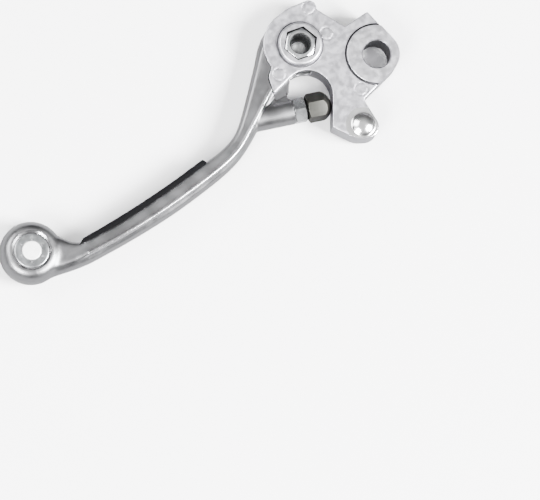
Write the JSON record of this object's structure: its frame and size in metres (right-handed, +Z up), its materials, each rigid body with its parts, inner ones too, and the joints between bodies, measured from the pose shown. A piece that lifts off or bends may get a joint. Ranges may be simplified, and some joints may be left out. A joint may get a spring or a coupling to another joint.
{
  "type": "hydraulic hand brake lever",
  "caption": "Hinged hand brake lever: cast knuckle with pivot bore and piston nose, forged blade with ball end, rubber grip pad and screw reach adjuster.",
  "frame": {"origin": "centre of the main pivot bore at the lever's mid thickness", "axes": "+Z up along the main pivot bore, +X from the ball end to the pivot bore, +Y towards the fingers (away from the handlebar)"},
  "size_m": [0.1939, 0.0657, 0.016],
  "materials": {
    "cast_aluminium": "matte cast, machined boss faces",
    "forged_aluminium": "satin tumbled, light scratches",
    "grip_rubber": "matte",
    "nut_steel": "bright turned",
    "zinc_steel": "bright zinc plated",
    "screw_steel": "satin zinc plated",
    "dark_steel": "dull dark phosphated",
    "spring_steel": "oiled wire",
    "bronze": "turned bearing bronze",
    "seal_rubber": "matte",
    "badge_plastic": "satin black with plain rings",
    "stud_aluminium": "bright turned",
    "washer_steel": "spring steel, dull grey"
  },
  "bodies": {
    "knuckle": {"knuckle": "cast_aluminium", "pivot_sleeve": "nut_steel", "pivot_screw": "screw_steel", "pivot_washer": "screw_steel", "upper_thrust_washer": "bronze", "lower_thrust_washer": "bronze", "return_spring": "spring_steel"},
    "blade": {"blade": "forged_aluminium", "pivot_bush": "bronze", "grip_pad": "grip_rubber", "adjuster_lock_nut": "zinc_steel", "end_badge": "badge_plastic", "badge_stud": "stud_aluminium", "star_lock_washer": "washer_steel"},
    "adjuster_ring": {"adjuster_seal_ring": "seal_rubber"},
    "adjuster_screw": {"adjuster_screw": "dark_steel"}
  },
  "joints": [
    {"name": "reach_pivot", "type": "hinge", "parent": "knuckle", "child": "blade", "pos_m": [-0.0262, 0.0198, 0], "axis": [0, 0, -1], "range_deg": [0, 6.45]},
    {"name": "adjuster_travel", "type": "slide", "parent": "blade", "child": "adjuster_ring", "axis": [0.9511, -0.309, 0], "range_m": [0, 0.003]},
    {"name": "adjuster_turn", "type": "hinge", "parent": "adjuster_ring", "child": "adjuster_screw", "pos_m": [-0.0429, -0.00285, 0], "axis": [0.9511, -0.309, 0], "range_deg": [0, 1080]}
  ],
  "couplings": [
    {"joint": "adjuster_travel", "follows": "reach_pivot", "m_per_rad": 0.0264},
    {"joint": "adjuster_turn", "follows": "reach_pivot", "ratio": 165.88}
  ]
}
